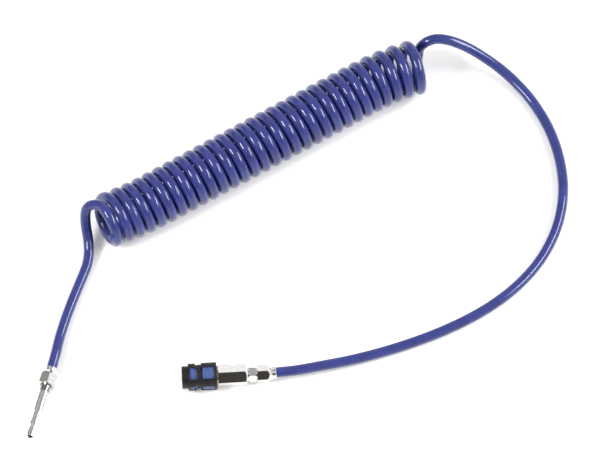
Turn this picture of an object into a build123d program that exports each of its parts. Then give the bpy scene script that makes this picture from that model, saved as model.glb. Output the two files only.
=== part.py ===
from build123d import *
import math
import os

os.makedirs("parts", exist_ok=True)

# Coiled air hose, lying on the floor. Millimetres, +Z up, z = 0 the floor.
# The origin is under the middle of its box.
# +X runs along the coupler, from its mouth to the hose, and +Y runs from the fittings to the coil.

# ---- Driving dimensions ----
# Hose
HOSE_D = 10.4
HOSE_BORE_D = 6.5
HOSE_R = HOSE_D / 2

# Coil: a right-handed helix, bent a little at its left end, then straight, and bent at its right end
COIL_D = 57.0
COIL_TURN_R = 23.0
COIL_PITCH = 12.02
COIL_LEFT_TURNS = 4.5
COIL_LEFT_BEND_R = 290.0
COIL_STRAIGHT_TURNS = 25
COIL_BENT_PITCH = 12.74
COIL_BENT_TURNS = 4.75
COIL_BEND_R = 235.0
COIL_HEADING = 27.3
COIL_START = Vector(-185.1, 16.85, COIL_D / 2)

# Coupler sleeve, along x from the mouth
NOSE_R = 11.3
FRONT_BULGE_R = 13.75
WAIST_R = 12.2
REAR_BULGE_R = 13.95
SLEEVE_END = 35.2
SLEEVE_TRAVEL = 6.0
COVER_THICKNESS = 1.1
PAD_DEPTH = 0.25
CORE_START = 3.0
CORE_END = 27.0
CORE_R = 10.4
SKIRT_R = 11.35
GRIP_START = 7.6
GRIP_END = SLEEVE_END - COVER_THICKNESS
WINDOWS = ((8.0, 15.4), (19.6, 32.6))
WINDOW_WIDTH = 12.4
WINDOW_CORNER_R = 0.9
WINDOW_ELEVATION = 80.9

# Ball lock
BALL_R = 1.75
BALL_COUNT = 6
BALL_X = 13.0
BALL_REST_R = 5.6
BALL_TRAVEL = 1.25
LAND_R = 7.42

# Coupler bodies
PLUG_R = 5.0
MOUTH_BORE_R = 5.15
SEAL_BORE_R = 4.7
FRONT_BODY_R = 7.2
SPIGOT_R = 8.0
CHAMBER_R = 6.0
HEX_START = 36.5
HEX_END = 64.7
REAR_HEX_AF = 19.0
REAR_HEX_TURN = -19.0
SOCKET_END = 42.3
THREAD_R = 6.55
THREAD_GAP = 0.05

# Valve
VALVE_X = 20.4
VALVE_TRAVEL = 4.0

# Springs: wire radius, mean radius, start, end, turns
SLEEVE_SPRING = (0.55, 8.25, 16.6, 33.7, 5.5)
VALVE_SPRING = (0.4, 4.9, 30.1, 42.2, 5.5)

# Hose fitting and union nuts
FITTING_HEX_AF = 15.0
FITTING_HEX_START = 67.4
FITTING_HEX_LENGTH = 6.6
FITTING_HEX_TURN = 10.0
NUT_AF = 16.0
NUT_HEX_LENGTH = 14.4
NUT_LENGTH = 19.2
NUT_COLLAR_R = 6.2
NUT_THREAD_R = 6.0
NUT_START = 75.2
NUT_THREAD_LENGTH = 6.6
COUPLER_NUT_TURN = -18.0
BARB_R = 3.2
FITTING_BORE_R = 2.2
HOSE_INSERTION = 7.0
HOSE_END = NUT_START + HOSE_INSERTION

# Where the coupler and the nipple lie
COUPLER_MOUTH = Vector(-120.5, -149.3, REAR_BULGE_R)
NIPPLE_TIP = Vector(-274.65, -202.95, 9.2)
NIPPLE_HEADING = 70.9
NIPPLE_NUT_TURN = 37.0

# Nipple, along its own x from the tip
NIPPLE_NOSE_END = 8.2
NIPPLE_GROOVE = (8.9, 11.7)
NIPPLE_COLLAR = (12.8, 16.2)
NIPPLE_SHANK = (27.6, 50.4)
NIPPLE_NUT_START = 58.8

# Free runs of the hose, as the corners of straight runs that arcs join
LEAD_ROUTE = [
    (COUPLER_MOUTH.X + HOSE_END, COUPLER_MOUTH.Y, COUPLER_MOUTH.Z),
    (-13.85, COUPLER_MOUTH.Y, COUPLER_MOUTH.Z),
    (16.15, -143.95, 11.5),
    (51.65, -136.95, 7.5),
    (86.65, -127.95, HOSE_R),
    (122.15, -117.45, HOSE_R),
    (156.15, -104.45, HOSE_R),
    (189.65, -87.45, HOSE_R),
    (220.15, -65.45, HOSE_R),
    (246.15, -37.45, HOSE_R),
    (265.15, -2.45, HOSE_R),
    (274.15, 36.55, HOSE_R),
    (272.65, 74.05, HOSE_R),
    (263.65, 108.55, HOSE_R),
    (248.15, 141.05, HOSE_R),
    (232.15, 161.55, 8),
    (218.15, 175.05, 12),
    (203.65, 184.55, 18.5),
    (188.15, 192.55, 26.5),
    (171.65, 198.05, 35),
    (156.65, 199.25, 40),
    (146.65, 198.85, 37.5),
    (140.95, 197.85, 29.5),
    (138.95, 197.05, 21),
    (137.25, 194.45, 12),
]
TAIL_ROUTE = [
    (-186.5, 17, 51),
    (-190.85, 30.75, 49.3),
    (-205.35, 34.25, 40),
    (-206.85, 21.55, 27.5),
    (-203.85, 5.05, 15),
    (-205.35, -12.45, 7.5),
    (-213.35, -29.45, HOSE_R),
    (-222.55, -50.15, HOSE_R),
    (-231.35, -71.45, HOSE_R),
    (-239.35, -94.45, 6.2),
    (-244.85, -116.95, 9.2),
    (-253.15, -140.75, 9.2),
]
ARC_SHARE = 0.45


# ---- Shape helpers ----
def turned(*outline):
    """A solid turned about X, from the (x, radius) corners of its outline."""
    return revolve(make_face(Polyline(*outline, close=True)), Axis.X)


def ring(start, end, inner, outer):
    """A plain turned ring."""
    return turned((start, inner), (end, inner), (end, outer), (start, outer))


def rod(start, end, radius):
    """A solid cylinder along X."""
    return Pos((start + end) / 2, 0, 0) * Rot(0, 90, 0) * Cylinder(radius, end - start)


def torus_seal(x, mean_r, section_r):
    """A round-section seal about X."""
    return Pos(x, 0, 0) * Rot(0, 90, 0) * Torus(mean_r, section_r)


def hex_bar(start, end, across_flats, turn=0.0):
    """A hexagonal bar along X with a flat on top, turned about X."""
    corner_r = across_flats / math.sqrt(3)
    section = Plane.YZ.offset(start) * RegularPolygon(corner_r, 6)
    return Rot(turn, 0, 0) * extrude(section, end - start)


def chamfered_hex(start, end, across_flats, chamfer, turn=0.0):
    """A hexagonal bar whose corners are turned off at both ends."""
    corner_r = across_flats / math.sqrt(3)
    face_r = across_flats / 2
    limit = turned(
        (start, 0),
        (start, face_r),
        (start + chamfer, corner_r + 0.1),
        (end - chamfer, corner_r + 0.1),
        (end, face_r),
        (end, 0),
    )
    return hex_bar(start, end, across_flats, turn) & limit


def spring(wire_r, mean_r, start, end, turns):
    """A round-wire helical compression spring along X, its wire's ends inside start and end."""
    length = end - start - 2 * wire_r
    path = Helix(length / turns, length, mean_r)
    section = Plane(origin=path @ 0, z_dir=path % 0) * Circle(wire_r)
    return Pos(start + wire_r, 0, 0) * Rot(0, 90, 0) * sweep(section, path=path, is_frenet=True)


# ---- Coupler sleeve ----
def sleeve_solid(inset):
    """The sleeve's outer form as a solid, sunk by inset on every side but the nose."""
    outline = [
        (0.4, 0),
        (0.4, NOSE_R - inset),
        (6.4 + inset, NOSE_R - inset),
        (6.9 + inset, FRONT_BULGE_R - inset),
        (13.6 - inset, FRONT_BULGE_R - inset),
        (14.6 - inset, WAIST_R - inset),
        (19.2 + inset, WAIST_R - inset),
        (20.2 + inset, REAR_BULGE_R - inset),
        (34.6 - inset, REAR_BULGE_R - inset),
        (SLEEVE_END - inset, REAR_BULGE_R - 0.9 - inset),
        (SLEEVE_END - inset, 0),
    ]
    radii = [0, 0.3, 0.3, 0.7, 0.7, 0.4, 0.4, 0.9, 0.5, 0.5, 0]
    return revolve(make_face(FilletPolyline(*outline, radius=radii, close=True)), Axis.X)


def window_cutters():
    """Rounded blocks through every window, standing out from the axis."""
    cutters = []
    for start, end in WINDOWS:
        block = extrude(RectangleRounded(end - start, WINDOW_WIDTH, WINDOW_CORNER_R), 20)
        block = Pos((start + end) / 2, 0, 3) * block
        for quarter in range(4):
            turn = 90 - WINDOW_ELEVATION + 90 * quarter
            cutters.append(Rot(turn, 0, 0) * block)
    return cutters


def make_sleeve_core():
    """The steel sleeve: a lip, a recess and ramp that free the balls, a locking land, a spring pocket."""
    slope = BALL_TRAVEL / SLEEVE_TRAVEL
    ramp_r = LAND_R + 0.05
    recess_x = BALL_X - SLEEVE_TRAVEL - 1
    recess_r = ramp_r + slope * (BALL_X - recess_x)
    return turned(
        (CORE_START, LAND_R),
        (CORE_START + 1.2, LAND_R),
        (CORE_START + 1.2, recess_r),
        (recess_x, recess_r),
        (BALL_X + (ramp_r - LAND_R) / slope, LAND_R),
        (16.5, LAND_R),
        (16.5, 9.3),
        (CORE_END, 9.3),
        (CORE_END, CORE_R),
        (CORE_START, CORE_R),
    )


def make_sleeve_grip():
    """The moulded grip layer, with a pad that fills each window of the cover."""
    base = sleeve_solid(COVER_THICKNESS) & rod(GRIP_START, GRIP_END, 20)
    pads = sleeve_solid(PAD_DEPTH) & window_cutters()
    body = base + pads
    return body - rod(0, CORE_END, CORE_R) - rod(CORE_END, SLEEVE_END, SKIRT_R)


def make_sleeve_cover():
    """The moulded outer cover, open at its windows."""
    inner = sleeve_solid(COVER_THICKNESS) & rod(GRIP_START, GRIP_END, 20)
    shell = sleeve_solid(0) - inner - window_cutters()
    shell -= rod(0, CORE_START, 8.6)
    shell -= rod(CORE_START, GRIP_START, CORE_R)
    return shell - rod(GRIP_END, SLEEVE_END, SKIRT_R)


# ---- Coupler front body, balls, rings and seals ----
def ball_pocket():
    """The hole that holds one ball: straight outside and closing slightly at the bore."""
    mouth = Pos(0, 0, 4.6) * Cylinder(1.69, 1.0)
    seat = Pos(0, 0, 5.3) * Cone(1.69, 1.80, 0.4)
    hole = Pos(0, 0, 7.5) * Cylinder(1.80, 4.0)
    return Pos(BALL_X, 0, 0) * (mouth + seat + hole)


def make_front_body():
    """The turned nose: mouth bore, ball pockets, seal groove, valve chamber and screwed spigot."""
    body = turned(
        (0.6, MOUTH_BORE_R + 0.6),
        (0.6, 6.8),
        (1.0, FRONT_BODY_R),
        (1.85, FRONT_BODY_R),
        (1.85, 6.6),
        (CORE_START, 6.6),
        (CORE_START, FRONT_BODY_R),
        (34.6, FRONT_BODY_R),
        (34.6, 8.9),
        (35.4, 8.9),
        (35.4, SPIGOT_R),
        (37.8, SPIGOT_R),
        (37.8, 6.9),
        (39.4, 6.9),
        (39.4, SPIGOT_R),
        (SOCKET_END - 0.1, SPIGOT_R),
        (SOCKET_END - 0.1, CHAMBER_R),
        (22.0, CHAMBER_R),
        (22.0, SEAL_BORE_R),
        (19.3, SEAL_BORE_R),
        (19.3, 6.3),
        (17.1, 6.3),
        (17.1, SEAL_BORE_R),
        (15.2, SEAL_BORE_R),
        (15.2, MOUTH_BORE_R),
        (9.2, MOUTH_BORE_R),
        (9.2, 5.6),
        (8.0, 5.6),
        (8.0, MOUTH_BORE_R),
        (1.2, MOUTH_BORE_R),
    )
    pocket = ball_pocket()
    for turn in ball_turns():
        body -= Rot(turn, 0, 0) * pocket
    return body


def ball_turns():
    """The angle of each ball about X, from +Z towards -Y."""
    return [360 * i / BALL_COUNT for i in range(BALL_COUNT)]


def make_ball(turn):
    return Rot(turn, 0, 0) * Pos(BALL_X, 0, BALL_REST_R) * Sphere(BALL_R)


def make_nose_ring():
    """The snap ring, split at one side, that the sleeve's lip rests on."""
    split = Pos(2.4, 0, -7.5) * Box(2, 2, 3)
    return ring(1.9, CORE_START - 0.05, 6.65, 8.3) - split


def make_spring_seat():
    return ring(33.75, 34.55, FRONT_BODY_R + 0.05, 9.0)


def make_collar_ring():
    return ring(35.45, HEX_START - 0.05, SPIGOT_R + 0.05, 10.2)


# ---- Valve ----
def make_valve_poppet():
    """The poppet: a boss for the plug, a flange behind the seal, four fins and a tail in the spring."""
    body = turned(
        (VALVE_X, 0),
        (VALVE_X, 3.5),
        (VALVE_X + 0.5, 4.0),
        (23.6, 4.0),
        (23.6, 5.3),
        (25.2, 5.3),
        (26.2, 2.4),
        (33.5, 2.4),
        (34.0, 1.9),
        (34.0, 0),
    )
    guide = rod(25.2, 30.0, CHAMBER_R - 0.15)
    for turn in (0, 90):
        body += Rot(turn, 0, 0) * (Pos(27.6, 0, 0) * Box(4.8, 1.2, 13)) & guide
    return body


def make_valve_seal():
    return ring(22.05, 23.55, 4.05, 5.6)


# ---- Hex body, hose fitting and nuts ----
def make_rear_body():
    """The hexagonal body: a socket for the front body, a bore and a socket for the hose fitting."""
    body = chamfered_hex(HEX_START, HEX_END, REAR_HEX_AF, 0.7, REAR_HEX_TURN)
    body -= rod(HEX_START, SOCKET_END, SPIGOT_R + THREAD_GAP)
    body -= rod(SOCKET_END, 51, 4.0)
    return body - rod(51, HEX_END, THREAD_R + THREAD_GAP)


def barb(start, count=3, step=3.6):
    """The saw-tooth outline of a hose barb, as (x, radius) corners."""
    outline = []
    for i in range(count):
        outline.append((start + i * step, BARB_R))
        outline.append((start + (i + 1) * step, BARB_R - 0.45))
    return outline


def make_hose_fitting():
    """Thread, neck, hex, nut thread and barb, turned in one piece from hexagonal bar."""
    barb_start = NUT_START + NUT_THREAD_LENGTH
    body = turned(
        (54, FITTING_BORE_R),
        (54, THREAD_R - 0.5),
        (54.5, THREAD_R),
        (FITTING_HEX_START, THREAD_R),
        (FITTING_HEX_START + 5.9, NUT_THREAD_R),
        (barb_start - 0.4, NUT_THREAD_R),
        (barb_start, NUT_THREAD_R - 0.4),
        *barb(barb_start),
        (barb_start + 10.8, FITTING_BORE_R),
    )
    hex_end = FITTING_HEX_START + FITTING_HEX_LENGTH
    hexagon = chamfered_hex(FITTING_HEX_START, hex_end, FITTING_HEX_AF, 0.5, FITTING_HEX_TURN)
    hexagon -= rod(FITTING_HEX_START, hex_end, 5)
    return body + hexagon


def make_sealing_washer():
    return ring(HEX_END + 0.05, HEX_END + 1.05, THREAD_R + THREAD_GAP, 7.7)


def union_nut(turn):
    """A nut along X from 0: a hexagon whose far end is turned to a cone, and a collar round the hose."""
    corner_r = NUT_AF / math.sqrt(3)
    limit = turned(
        (0, 0),
        (0, NUT_AF / 2),
        (0.6, corner_r + 0.1),
        (NUT_HEX_LENGTH - 4.0, corner_r + 0.1),
        (NUT_HEX_LENGTH, NUT_COLLAR_R + 0.5),
        (NUT_HEX_LENGTH + 0.6, NUT_COLLAR_R),
        (NUT_LENGTH - 0.5, NUT_COLLAR_R - 0.15),
        (NUT_LENGTH, NUT_COLLAR_R - 0.5),
        (NUT_LENGTH, 0),
    )
    body = hex_bar(0, NUT_LENGTH, NUT_AF, turn) & limit
    body -= rod(0, NUT_THREAD_LENGTH + 0.3, NUT_THREAD_R + THREAD_GAP)
    return body - rod(NUT_THREAD_LENGTH + 0.3, NUT_LENGTH, HOSE_R + THREAD_GAP)


def make_nipple():
    """The male plug: nose, ball groove, collar, waist, shank, neck, thread and barb, bored right through."""
    nut_start = NIPPLE_NUT_START
    barb_start = nut_start + NUT_THREAD_LENGTH
    shank_start, shank_end = NIPPLE_SHANK
    groove_start, groove_end = NIPPLE_GROOVE
    collar_start, collar_end = NIPPLE_COLLAR
    return turned(
        (0, 3.9),
        (0, 4.1),
        (0.4, 4.5),
        (NIPPLE_NOSE_END, 4.5),
        (groove_start, 3.75),
        (groove_end, 3.75),
        (collar_start, PLUG_R),
        (collar_end, PLUG_R),
        (collar_end + 0.6, 4.4),
        (shank_start - 0.2, 4.4),
        (shank_start, 4.9),
        (shank_start + 0.5, 5.4),
        (shank_end - 0.5, 5.4),
        (shank_end, 4.9),
        (shank_end + 0.4, 4.3),
        (shank_end + 2.2, 4.3),
        (shank_end + 2.6, 5.15),
        (nut_start - 0.6, 5.15),
        (nut_start - 0.6, NUT_THREAD_R),
        (barb_start - 0.4, NUT_THREAD_R),
        (barb_start, NUT_THREAD_R - 0.4),
        *barb(barb_start),
        (barb_start + 10.8, FITTING_BORE_R),
        (34, FITTING_BORE_R),
        (33, 2.9),
        (1.0, 2.9),
    )


# ---- Hose ----
def arc_radii(route):
    """The radius at each corner: as large as its two runs allow."""
    points = [Vector(*p) for p in route]
    radii = []
    for before, corner, after in zip(points, points[1:], points[2:]):
        turn = (corner - before).get_angle(after - corner)
        shorter = min((corner - before).length, (after - corner).length)
        radii.append(ARC_SHARE * shorter / math.tan(math.radians(turn / 2)))
    return radii


def make_hose_run(name, route):
    """A free run of the hose as a real tube, printed with its radii, length and volume."""
    radii = arc_radii(route)
    path = FilletPolyline(*route, radius=radii)
    section = Plane(origin=path @ 0, z_dir=path % 0)
    wall = Circle(HOSE_R) - Circle(HOSE_BORE_D / 2)
    solid = sweep(section * wall, path=path)
    area = math.pi * (HOSE_R**2 - (HOSE_BORE_D / 2) ** 2)
    print(name, "radii", [round(r, 1) for r in radii])
    ratio = solid.volume / (area * path.length)
    print(name, "length", round(path.length, 1), "volume ratio", round(ratio, 4))
    return solid


def coil_axis():
    """The coil's axis: an arc, a straight line and a tighter arc, with half a hose more at both ends."""
    along = Vector(1, 0, 0).rotate(Axis.Z, COIL_HEADING)
    left_length = COIL_PITCH * COIL_LEFT_TURNS + HOSE_R
    left_turn = math.degrees(left_length / COIL_LEFT_BEND_R)
    corner = COIL_START + along * COIL_PITCH * COIL_LEFT_TURNS
    left_arc = JernArc(corner, -along, COIL_LEFT_BEND_R, -left_turn)
    first = JernArc(left_arc @ 1, -(left_arc % 1), COIL_LEFT_BEND_R, left_turn)
    line = Line(corner, COIL_START + along * COIL_PITCH * COIL_STRAIGHT_TURNS)
    right_length = COIL_BENT_PITCH * COIL_BENT_TURNS + HOSE_R
    last = JernArc(line @ 1, line % 1, COIL_BEND_R, -math.degrees(right_length / COIL_BEND_R))
    return first + line + last


def make_hose_coil():
    """The wound part of the hose, as the full outer shape of its turns."""
    path = coil_axis()
    section = Plane(origin=path @ 0, z_dir=path % 0) * Circle(COIL_D / 2)
    solid = sweep(section, path=path)
    turns = COIL_STRAIGHT_TURNS + COIL_BENT_TURNS
    wound = turns * math.hypot(2 * math.pi * COIL_TURN_R, COIL_PITCH)
    print("hose_coil wound length", round(wound, 1), "axis length", round(path.length, 1))
    return solid


# ---- Assembly ----
coupler = Location(COUPLER_MOUTH)
nipple = Location(NIPPLE_TIP, (0, 0, NIPPLE_HEADING))

nodes = {
    "front_body": coupler * make_front_body(),
    "rear_body": coupler * make_rear_body(),
    "sleeve_core": coupler * make_sleeve_core(),
    "sleeve_grip": coupler * make_sleeve_grip(),
    "sleeve_cover": coupler * make_sleeve_cover(),
    "nose_ring": coupler * make_nose_ring(),
    "spring_seat": coupler * make_spring_seat(),
    "collar_ring": coupler * make_collar_ring(),
    "nipple_seal": coupler * torus_seal(18.2, 5.28, 0.95),
    "body_seal": coupler * torus_seal(38.6, 7.47, 0.55),
    "valve_poppet": coupler * make_valve_poppet(),
    "valve_seal": coupler * make_valve_seal(),
    "sleeve_spring": coupler * spring(*SLEEVE_SPRING),
    "valve_spring": coupler * spring(*VALVE_SPRING),
    "sealing_washer": coupler * make_sealing_washer(),
    "hose_fitting": coupler * make_hose_fitting(),
    "coupler_union_nut": coupler * Pos(NUT_START, 0, 0) * union_nut(COUPLER_NUT_TURN),
    "nipple_union_nut": nipple * Pos(NIPPLE_NUT_START, 0, 0) * union_nut(NIPPLE_NUT_TURN),
    "nipple": nipple * make_nipple(),
    "hose_lead": make_hose_run("hose_lead", LEAD_ROUTE),
    "hose_coil": make_hose_coil(),
    "hose_tail": make_hose_run("hose_tail", TAIL_ROUTE),
}
for i, turn in enumerate(ball_turns(), start=1):
    nodes[f"locking_ball_{i}"] = coupler * make_ball(turn)

for name, shape in nodes.items():
    export_step(shape, f"parts/{name}.step")
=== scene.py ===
import math

import bpy
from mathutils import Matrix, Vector


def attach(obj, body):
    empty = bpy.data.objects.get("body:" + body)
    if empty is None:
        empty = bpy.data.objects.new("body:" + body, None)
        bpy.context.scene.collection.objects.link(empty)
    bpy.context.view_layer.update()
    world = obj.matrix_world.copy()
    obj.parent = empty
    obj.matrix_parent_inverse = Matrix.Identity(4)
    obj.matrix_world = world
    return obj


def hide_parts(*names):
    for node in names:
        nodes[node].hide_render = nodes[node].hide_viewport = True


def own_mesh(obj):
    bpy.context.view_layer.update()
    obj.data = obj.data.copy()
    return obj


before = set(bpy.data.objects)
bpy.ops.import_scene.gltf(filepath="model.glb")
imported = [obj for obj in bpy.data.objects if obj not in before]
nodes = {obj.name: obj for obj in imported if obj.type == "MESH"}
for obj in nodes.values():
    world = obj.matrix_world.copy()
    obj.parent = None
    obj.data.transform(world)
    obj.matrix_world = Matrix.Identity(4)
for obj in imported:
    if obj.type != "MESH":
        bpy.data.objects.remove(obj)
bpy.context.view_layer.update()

# ---- Sizes, in metres, in the CAD's own frame. Turns are counted from the coil's left end ----
HOSE_R = 0.0052
COIL_HOSE_R = 0.0055  # the hose where it is wound, a little wider
COIL_HOSE_DELAY = 4  # control points at the coil's right end that keep the free hose's radius

# The coil's line: an arc at the left end, a straight stretch, and an arc at the right end
COIL_R = 0.023
COIL_PITCH = 0.01202
COIL_HEADING = math.radians(27.3)
COIL_START = Vector((-0.1851, 0.01685, 0.0285))
COIL_STRAIGHT_TURNS = 25
COIL_BENT_TURNS = 4.69
COIL_PITCH_GAIN = 0.0005
COIL_BEND_R = 0.235
LEFT_TURNS = 4.5
LEFT_BEND_R = 0.29
POINTS_PER_TURN = 16

# How the rings turn about the vertical, away from square to the coil's line
LEFT_YAW = math.radians(4.5)
LEFT_YAW_TURNS = 20
RIGHT_YAW = math.radians(4.5)
RIGHT_YAW_START = 18
RIGHT_YAW_TURNS = 7

# How the end turns lean and shift along the coil
TOP_LEAN = 0.0025
TOP_LEAN_TURNS = 3
FIRST_LEAD = 0.0015
FIRST_LEAD_TURNS = 0.35
FIRST_PULL = 0.0038
FIRST_PULL_START = 0.25
RIGHT_LEAN = 0.0006
RIGHT_PULL_START = 29.25
RIGHT_PULL = 0.012

# The fittings: the coupler lies along X, and the nipple has a heading of its own
MOUTH = Vector((-0.1205, -0.1493, 0.01395))
NIPPLE_HEADING = math.radians(70.9)
NIPPLE_TIP_X = -0.2816  # the tip's place along the nipple's own line, from the frame's origin
NIPPLE_NECK = (NIPPLE_TIP_X + 0.0512, NIPPLE_TIP_X + 0.0586)
# Painted shade: the nipple's neck groove is darkened in the plating's colour
NECK_SHADE_COLOR = (0.28, 0.28, 0.28)

# The hose's free runs, as control points of its smooth line: from the coupler's nut to the
# coil's right end, and from the top of the coil's first turn to the nipple's nut
LEAD = [
    (-0.0383, -0.1493, 0.01395),
    (-0.01385, -0.1493, 0.01395),
    (0.01615, -0.14395, 0.0115),
    (0.05165, -0.13695, 0.0075),
    (0.08665, -0.12795, HOSE_R),
    (0.12215, -0.11745, HOSE_R),
    (0.15615, -0.10445, HOSE_R),
    (0.18965, -0.08745, HOSE_R),
    (0.22015, -0.06545, HOSE_R),
    (0.24615, -0.03745, HOSE_R),
    (0.26515, -0.00245, HOSE_R),
    (0.27415, 0.03655, HOSE_R),
    (0.27265, 0.07405, HOSE_R),
    (0.26415, 0.10905, HOSE_R),
    (0.24865, 0.14155, HOSE_R),
    (0.23265, 0.16205, 0.008),
    (0.21865, 0.17555, 0.012),
    (0.20415, 0.18515, 0.0185),
    (0.18865, 0.19315, 0.0265),
    (0.17165, 0.19805, 0.035),
    (0.15665, 0.19925, 0.04),
    (0.14685, 0.19785, 0.0374),
    (0.14015, 0.19685, 0.0295),
]
TAIL = [
    (-0.19085, 0.03075, 0.0493),
    (-0.20535, 0.03425, 0.04),
    (-0.20685, 0.0235, 0.0235),
    (-0.20385, 0.007, 0.011),
    (-0.20535, -0.0117, 0.006),
    (-0.21335, -0.02945, HOSE_R),
    (-0.22255, -0.05015, HOSE_R),
    (-0.23135, -0.07145, HOSE_R),
    (-0.23935, -0.09445, 0.0062),
    (-0.24485, -0.11695, 0.0092),
    (-0.25315, -0.14075, 0.0092),
]


# ---- Camera ----
def place_camera():
    """The camera stands far off and looks steeply down on the hose."""
    azimuth = math.radians(-3.5)
    elevation = math.radians(64.0)
    target = Vector((0.00315, 0.01325, 0.0))
    distance = 20.0
    width = 0.591
    sensor = 36.0
    back = Vector(
        (
            math.sin(azimuth) * math.cos(elevation),
            -math.cos(azimuth) * math.cos(elevation),
            math.sin(elevation),
        )
    )
    data = bpy.data.cameras.new("camera")
    data.sensor_width = sensor
    data.lens = sensor * distance / width
    data.clip_end = 3 * distance
    camera = bpy.data.objects.new("camera", data)
    camera.location = target + back * distance
    camera.rotation_euler = back.to_track_quat("Z", "Y").to_euler()
    bpy.context.collection.objects.link(camera)
    bpy.context.scene.camera = camera


place_camera()


# ---- Hose ----
def coil_centre(turn):
    """The coil's middle and its line's heading, so many turns from its left end."""
    along = Vector((math.cos(COIL_HEADING), math.sin(COIL_HEADING), 0))
    left = Vector((-along.y, along.x, 0))
    if turn < LEFT_TURNS:
        back = (LEFT_TURNS - turn) * COIL_PITCH
        angle = back / LEFT_BEND_R
        centre = COIL_START + along * LEFT_TURNS * COIL_PITCH
        centre += (
            left * LEFT_BEND_R * (1 - math.cos(angle)) - along * LEFT_BEND_R * math.sin(angle)
        )
        return centre, COIL_HEADING - angle
    bent_turn = max(turn - COIL_STRAIGHT_TURNS, 0)
    bent = bent_turn * COIL_PITCH + bent_turn**2 * COIL_PITCH_GAIN / 2
    bent += RIGHT_PULL * max(turn - RIGHT_PULL_START, 0) ** 2
    angle = bent / COIL_BEND_R
    centre = COIL_START + along * min(turn, COIL_STRAIGHT_TURNS) * COIL_PITCH
    centre += (
        along * COIL_BEND_R * math.sin(angle) - left * COIL_BEND_R * (1 - math.cos(angle))
    )
    return centre, COIL_HEADING - angle


def coil_point(turn):
    """A control point of the coil, whose turns yaw and lean towards both ends."""
    centre, heading = coil_centre(turn)
    angle = 2 * math.pi * turn
    along = Vector((math.cos(heading), math.sin(heading), 0))
    if turn < LEFT_TURNS:
        heading = COIL_HEADING
    heading -= LEFT_YAW * max(1 - turn / LEFT_YAW_TURNS, 0)
    heading -= RIGHT_YAW * min(max((turn - RIGHT_YAW_START) / RIGHT_YAW_TURNS, 0), 1) ** 2
    away = Vector((-math.sin(heading), math.cos(heading), 0))
    ring = Vector((0, 0, math.cos(angle))) - away * math.sin(angle)
    shift = TOP_LEAN * max(1 - turn / TOP_LEAN_TURNS, 0) ** 2 * math.cos(angle)
    shift += RIGHT_LEAN * max(turn - COIL_STRAIGHT_TURNS, 0) * math.cos(angle)
    shift -= FIRST_LEAD * max(1 - turn / FIRST_LEAD_TURNS, 0)
    if FIRST_PULL_START < turn < 1:
        share = (turn - FIRST_PULL_START) / (1 - FIRST_PULL_START)
        shift -= FIRST_PULL * math.sin(math.pi * share) ** 2
    control_r = COIL_R / math.cos(math.pi / POINTS_PER_TURN)
    return centre + ring * control_r + along * shift


def coil_points():
    """Control points from the coil's right end to the top of its first turn."""
    steps = round((COIL_STRAIGHT_TURNS + COIL_BENT_TURNS) * POINTS_PER_TURN)
    return [coil_point(step / POINTS_PER_TURN) for step in range(steps, -1, -1)]


def make_hose():
    """One continuous tube: lead, coil and tail as a single smooth line."""
    route = [Vector(p) for p in LEAD] + coil_points() + [Vector(p) for p in TAIL]
    data = bpy.data.curves.new("hose", "CURVE")
    data.dimensions = "3D"
    data.bevel_depth = 1.0  # each point's radius is the hose's radius there, in metres
    data.bevel_resolution = 7
    data.resolution_u = 4
    data.use_fill_caps = True
    spline = data.splines.new("NURBS")
    spline.points.add(len(route) - 1)
    for point, place in zip(spline.points, route):
        point.co = (*place, 1)
        point.radius = HOSE_R
    for point in spline.points[len(LEAD) + COIL_HOSE_DELAY : -len(TAIL)]:
        point.radius = COIL_HOSE_R
    spline.order_u = 3
    spline.use_endpoint_u = True
    spline.use_smooth = True
    hose = bpy.data.objects.new("hose", data)
    bpy.context.collection.objects.link(hose)
    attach(hose, "hose_and_bodies")
    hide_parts("hose_lead", "hose_coil", "hose_tail")
    return hose


hose = make_hose()


# ---- Springs: wound wire with closed ends ----
SPRING_STEPS = 24
SPRING_END_TURNS = 1.0
SPRING_END_PITCH = 0.0006


def spring_line(mean_r, start, end, turns):
    """Points of a spring's wire along X from start to end, with one closed turn at each end."""
    total = turns + 2 * SPRING_END_TURNS
    open_length = end - start - 2 * SPRING_END_PITCH
    points = []
    for step in range(round(total * SPRING_STEPS) + 1):
        turn = step / SPRING_STEPS
        open_share = min(max((turn - SPRING_END_TURNS) / turns, 0), 1)
        closed_turns = min(turn, SPRING_END_TURNS) + max(turn - SPRING_END_TURNS - turns, 0)
        x = start + SPRING_END_PITCH * closed_turns + open_length * open_share
        angle = 2 * math.pi * turn
        points.append(Vector((x, mean_r * math.sin(angle), mean_r * math.cos(angle))))
    return points


def make_spring(name, wire_r, mean_r, start, end, turns, body):
    """A wire spring about the coupler's axis, wound between start and end and fixed to its
    body.
    """
    line = spring_line(mean_r, start + wire_r, end - wire_r, turns)
    data = bpy.data.curves.new(name, "CURVE")
    data.dimensions = "3D"
    data.bevel_depth = wire_r
    data.bevel_resolution = 3
    data.use_fill_caps = True
    spline = data.splines.new("POLY")
    spline.points.add(len(line) - 1)
    for point, place in zip(spline.points, line):
        point.co = (*(MOUTH + place), 1)
    spline.use_smooth = True
    curve = bpy.data.objects.new(name + "_line", data)
    bpy.context.collection.objects.link(curve)
    mesh = bpy.data.meshes.new_from_object(curve)
    bpy.data.objects.remove(curve)
    mesh.shade_smooth()
    piece = bpy.data.objects.new(name + "_wire", mesh)
    bpy.context.collection.objects.link(piece)
    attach(piece, body)
    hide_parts(name)
    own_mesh(piece)
    return piece


sleeve_spring = make_spring(
    "sleeve_spring",
    wire_r=0.00055,
    mean_r=0.00825,
    start=0.0166,
    end=0.0337,
    turns=4.5,
    body="sleeve_turn",
)
valve_spring = make_spring(
    "valve_spring",
    wire_r=0.0004,
    mean_r=0.0049,
    start=0.0301,
    end=0.0422,
    turns=4.5,
    body="hose_and_bodies",
)


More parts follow.
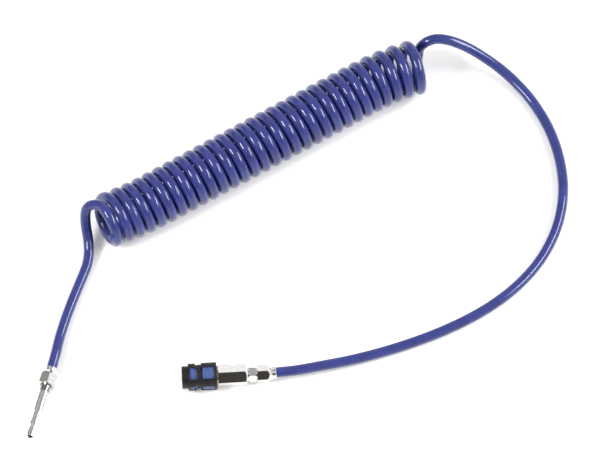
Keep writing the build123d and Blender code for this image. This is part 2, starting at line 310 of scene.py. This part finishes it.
# ---- Materials: noise scales are per metre, bump distances in metres ----
class Look:
    """A Principled material with short helpers for its procedural detail."""

    def __init__(self, name, color, roughness, metallic=0.0):
        self.material = bpy.data.materials.new(name)
        self.material.use_nodes = True
        self.tree = self.material.node_tree
        self.shader = self.tree.nodes["Principled BSDF"]
        self.shader.inputs["Base Color"].default_value = (*color, 1)
        self.shader.inputs["Roughness"].default_value = roughness
        self.shader.inputs["Metallic"].default_value = metallic
        self.height = None

    def add(self, kind, **values):
        node = self.tree.nodes.new(kind)
        for name, value in values.items():
            node.inputs[name].default_value = value
        return node

    def join(self, output, target):
        self.tree.links.new(output, target)

    def coordinates(self, stretch=(1, 1, 1), turn=(0, 0, 0)):
        """Texture coordinates fixed to the piece, turned and stretched."""
        place = self.add("ShaderNodeTexCoord")
        mapping = self.add("ShaderNodeMapping", Scale=stretch, Rotation=turn)
        self.join(place.outputs["Object"], mapping.inputs["Vector"])
        return mapping.outputs["Vector"]

    def noise(self, scale, detail=4.0, stretch=(1, 1, 1), turn=(0, 0, 0)):
        texture = self.add("ShaderNodeTexNoise", Scale=scale, Detail=detail)
        self.join(self.coordinates(stretch, turn), texture.inputs["Vector"])
        return texture.outputs["Fac"]

    def ramp(self, value, low, high, low_at=0.35, high_at=0.65):
        """A colour ramp from low to high over a noise's middle values."""
        node = self.add("ShaderNodeValToRGB")
        node.color_ramp.elements[0].position = low_at
        node.color_ramp.elements[0].color = (*low, 1)
        node.color_ramp.elements[1].position = high_at
        node.color_ramp.elements[1].color = (*high, 1)
        self.join(value, node.inputs["Fac"])
        return node.outputs["Color"]

    def color(self, value, low, high):
        self.join(self.ramp(value, low, high), self.shader.inputs["Base Color"])

    def band(self, color, turn, start, end, band_color):
        """Another colour between two places along the axis that turn brings to X."""
        place = self.add("ShaderNodeSeparateXYZ")
        self.join(self.coordinates(turn=(0, 0, turn)), place.inputs["Vector"])
        inside = self.add("ShaderNodeMath")
        inside.operation = "COMPARE"
        inside.inputs[1].default_value = (start + end) / 2
        inside.inputs[2].default_value = (end - start) / 2
        mix = self.add("ShaderNodeMix")
        mix.data_type = "RGBA"
        mix.inputs["B"].default_value = (*band_color, 1)
        self.join(place.outputs["X"], inside.inputs[0])
        self.join(inside.outputs["Value"], mix.inputs["Factor"])
        self.join(color, mix.inputs["A"])
        return mix.outputs["Result"]

    def roughness(self, value, low, high):
        node = self.add("ShaderNodeMapRange")
        node.inputs["To Min"].default_value = low
        node.inputs["To Max"].default_value = high
        self.join(value, node.inputs["Value"])
        self.join(node.outputs["Result"], self.shader.inputs["Roughness"])

    def bump(self, value, strength, distance):
        """Adds one layer of bump on top of the layers already there."""
        node = self.add("ShaderNodeBump", Strength=strength, Distance=distance)
        self.join(value, node.inputs["Height"])
        if self.height is not None:
            self.join(self.height, node.inputs["Normal"])
        self.height = node.outputs["Normal"]
        self.join(self.height, self.shader.inputs["Normal"])


def hose_look():
    """Extruded polyurethane: deep blue and glossy, with faint waves and fine scuffs."""
    look = Look("hose_blue", (0.025, 0.033, 0.16), 0.16)
    cloud = look.noise(60, 5)
    look.color(cloud, (0.022, 0.029, 0.14), (0.028, 0.037, 0.18))
    look.roughness(look.noise(700, 6), 0.06, 0.15)
    look.bump(look.noise(220, 3), 0.06, 0.0003)
    look.bump(look.noise(1800, 2), 0.03, 0.00005)
    look.shader.inputs["Specular IOR Level"].default_value = 0.35
    look.shader.inputs["Coat Weight"].default_value = 0.25
    look.shader.inputs["Coat Roughness"].default_value = 0.03
    look.shader.inputs["Subsurface Weight"].default_value = 0.15
    look.shader.inputs["Subsurface Radius"].default_value = (0.25, 0.35, 1.0)
    look.shader.inputs["Subsurface Scale"].default_value = 0.003
    return look.material


def plated_look(turn, low, high, painted_shade_band=None):
    """Bright plate with faint drawn lines along the bar, soft stains and small dents, and,
    where a band is given, a band of painted shade.
    """
    look = Look("plated_metal", high, 0.12, metallic=1.0)
    cloud = look.noise(260, 5)
    tint = look.ramp(cloud, low, high)
    # The band, where given, is painted shade that darkens the nipple's neck
    if painted_shade_band:
        tint = look.band(tint, turn, *painted_shade_band, NECK_SHADE_COLOR)
    look.join(tint, look.shader.inputs["Base Color"])
    grain = look.noise(900, 4, stretch=(0.12, 1, 1), turn=(0, 0, turn))
    look.roughness(grain, 0.08, 0.2)
    look.bump(grain, 0.1, 0.00008)
    look.bump(look.noise(320, 2), 0.02, 0.0003)
    return look.material


def turned_look():
    """Turned steel with fine tool rings round the coupler's axis."""
    look = Look("turned_steel", (0.5, 0.5, 0.51), 0.3, metallic=1.0)
    cloud = look.noise(240, 4)
    look.color(cloud, (0.44, 0.44, 0.45), (0.58, 0.58, 0.59))
    rings = look.noise(2600, 2, stretch=(1, 0.02, 0.02))
    look.roughness(rings, 0.22, 0.4)
    look.bump(rings, 0.15, 0.00006)
    return look.material


def wire_look():
    """Drawn spring wire with a slight temper tint."""
    look = Look("spring_steel", (0.42, 0.41, 0.4), 0.28, metallic=1.0)
    cloud = look.noise(500, 4)
    look.color(cloud, (0.34, 0.33, 0.32), (0.5, 0.49, 0.47))
    look.roughness(look.noise(2500, 3), 0.2, 0.38)
    look.bump(look.noise(3000, 2), 0.1, 0.00004)
    return look.material


def ball_look():
    """Ground and polished balls."""
    look = Look("ball_steel", (0.66, 0.66, 0.67), 0.08, metallic=1.0)
    cloud = look.noise(900, 3)
    look.color(cloud, (0.6, 0.6, 0.61), (0.72, 0.72, 0.73))
    look.roughness(look.noise(4000, 3), 0.05, 0.14)
    return look.material


def grip_look():
    """Moulded blue plastic with a fine spark-eroded grain."""
    look = Look("grip_blue", (0.038, 0.066, 0.2), 0.4)
    cloud = look.noise(180, 4)
    look.color(cloud, (0.032, 0.057, 0.175), (0.046, 0.078, 0.235))
    grain = look.noise(2400, 3)
    look.roughness(grain, 0.34, 0.52)
    look.bump(grain, 0.25, 0.00008)
    return look.material


def cover_look():
    """Black rubbery plastic over the grip, finely grained."""
    look = Look("cover_black", (0.006, 0.006, 0.007), 0.42)
    cloud = look.noise(160, 5)
    look.color(cloud, (0.0045, 0.0045, 0.005), (0.009, 0.009, 0.01))
    look.shader.inputs["Specular IOR Level"].default_value = 0.3
    grain = look.noise(1900, 4)
    look.roughness(grain, 0.36, 0.58)
    look.bump(grain, 0.35, 0.0001)
    return look.material


def brass_look():
    """Plain turned brass with a little tarnish."""
    look = Look("brass", (0.46, 0.36, 0.25), 0.26, metallic=1.0)
    cloud = look.noise(420, 5)
    look.color(cloud, (0.38, 0.3, 0.2), (0.52, 0.41, 0.29))
    rings = look.noise(2600, 2, stretch=(1, 0.02, 0.02))
    look.roughness(rings, 0.2, 0.36)
    look.bump(rings, 0.12, 0.00005)
    return look.material


def rubber_look():
    """Black seal rubber with a light bloom."""
    look = Look("rubber", (0.02, 0.02, 0.02), 0.6)
    cloud = look.noise(600, 4)
    look.color(cloud, (0.014, 0.014, 0.014), (0.032, 0.032, 0.033))
    look.roughness(look.noise(2200, 3), 0.5, 0.75)
    look.bump(look.noise(2600, 3), 0.2, 0.00005)
    return look.material


def washer_look():
    """Off-white sealing washer."""
    look = Look("seal_white", (0.78, 0.77, 0.74), 0.45)
    cloud = look.noise(700, 4)
    look.color(cloud, (0.7, 0.69, 0.66), (0.84, 0.83, 0.8))
    look.roughness(look.noise(2000, 3), 0.38, 0.55)
    look.bump(look.noise(2400, 3), 0.15, 0.00005)
    return look.material


plated = plated_look(0, (0.76, 0.75, 0.73), (0.86, 0.85, 0.835))
# Painted shade: the nut and the nipple get darker copies of the same plating, which stand in
# for the greyer light on them
shaded_plated_nut = plated_look(-NIPPLE_HEADING, (0.7, 0.69, 0.67), (0.8, 0.79, 0.77))
shaded_plated_nipple = plated_look(
    -NIPPLE_HEADING, (0.66, 0.65, 0.64), (0.78, 0.77, 0.75), NIPPLE_NECK
)
steel = turned_look()
wire = wire_look()
rubber = rubber_look()
brass = brass_look()
ball = ball_look()

hose.data.materials.append(hose_look())
sleeve_spring.data.materials.append(wire)
valve_spring.data.materials.append(wire)

FINISHES = {
    "front_body": steel,
    "rear_body": plated,
    "hose_fitting": plated,
    "coupler_union_nut": plated,
    "nipple_union_nut": shaded_plated_nut,
    "nipple": shaded_plated_nipple,
    "sleeve_core": steel,
    "sleeve_grip": grip_look(),
    "sleeve_cover": cover_look(),
    "nose_ring": wire,
    "spring_seat": steel,
    "collar_ring": brass,
    "nipple_seal": rubber,
    "body_seal": rubber,
    "valve_seal": rubber,
    "valve_poppet": brass,
    "sealing_washer": washer_look(),
}
for name, node in nodes.items():
    if name.startswith("locking_ball"):
        FINISHES[name] = ball


EDGE_WIDTH = 0.00018
EDGE_ANGLE = math.radians(35)


def finish_node(node, material):
    """Gives a CAD piece its material and softens its hard edges a little."""
    for place in node.material_slots:
        place.material = material
    bevel = node.modifiers.new("edges", "BEVEL")
    bevel.width = EDGE_WIDTH
    bevel.segments = 2
    bevel.limit_method = "ANGLE"
    bevel.angle_limit = EDGE_ANGLE
    bevel.use_clamp_overlap = True
    bevel.harden_normals = False


for name, material in FINISHES.items():
    finish_node(nodes[name], material)


# ---- Floor and light ----
def make_floor():
    """A plain pale floor that glows a little, so that it stays white between the shadows."""
    bpy.ops.mesh.primitive_plane_add(size=12)
    floor = bpy.context.object
    floor.name = "floor"
    look = Look("floor", (0.87, 0.865, 0.855), 0.6)
    look.shader.inputs["Emission Color"].default_value = (1, 0.99, 0.975, 1)
    look.shader.inputs["Emission Strength"].default_value = 0.1
    floor.data.materials.append(look.material)


def area_light(name, place, size, power):
    """A rectangular softbox that faces the frame's origin."""
    data = bpy.data.lights.new(name, "AREA")
    data.shape = "RECTANGLE"
    data.size, data.size_y = size
    data.energy = power
    light = bpy.data.objects.new(name, data)
    light.location = place
    light.rotation_euler = Vector(place).to_track_quat("Z", "Y").to_euler()
    bpy.context.collection.objects.link(light)


def sky_spot(tree, color, direction, radius, spot_color):
    """Mixes a soft round patch of another colour into the sky, its radius in degrees."""
    place = tree.nodes.new("ShaderNodeTexCoord")
    toward = tree.nodes.new("ShaderNodeVectorMath")
    toward.operation = "DOT_PRODUCT"
    toward.inputs[1].default_value = Vector(direction).normalized()
    share = tree.nodes.new("ShaderNodeMapRange")
    share.interpolation_type = "SMOOTHSTEP"
    share.inputs["From Min"].default_value = math.cos(math.radians(radius * 1.3))
    share.inputs["From Max"].default_value = math.cos(math.radians(radius * 0.7))
    mix = tree.nodes.new("ShaderNodeMix")
    mix.data_type = "RGBA"
    mix.inputs["B"].default_value = (*spot_color, 1)
    tree.links.new(place.outputs["Generated"], toward.inputs[0])
    tree.links.new(toward.outputs["Value"], share.inputs["Value"])
    tree.links.new(share.outputs["Result"], mix.inputs["Factor"])
    tree.links.new(color, mix.inputs["A"])
    return mix.outputs["Result"]


def make_sky():
    """A pale studio with a bright patch behind and three darker ones for the metal to reflect:
    overhead, behind on the left and in front."""
    world = bpy.data.worlds.new("world")
    world.use_nodes = True
    tree = world.node_tree
    base = tree.nodes.new("ShaderNodeRGB")
    base.outputs["Color"].default_value = (0.75, 0.75, 0.75, 1)
    color = base.outputs["Color"]
    color = sky_spot(tree, color, (0, 0.24, 0.97), 22, (0.45, 0.45, 0.46))
    color = sky_spot(tree, color, (0.1, 0.93, 0.34), 14, (1.1, 1.1, 1.12))
    color = sky_spot(tree, color, (-0.65, 0.67, 0.35), 15, (0.3, 0.29, 0.27))
    color = sky_spot(tree, color, (-0.02, -0.83, 0.56), 18, (0.05, 0.045, 0.04))
    tree.links.new(color, tree.nodes["Background"].inputs["Color"])
    bpy.context.scene.world = world


make_floor()
area_light("key", place=(-1.66, -0.59, 1.78), size=(1.0, 0.6), power=50)
area_light("fill", place=(1.93, -0.04, 1.59), size=(1.8, 0.75), power=62)
make_sky()
bpy.context.scene.view_settings.view_transform = "Standard"

bpy.context.view_layer.update()
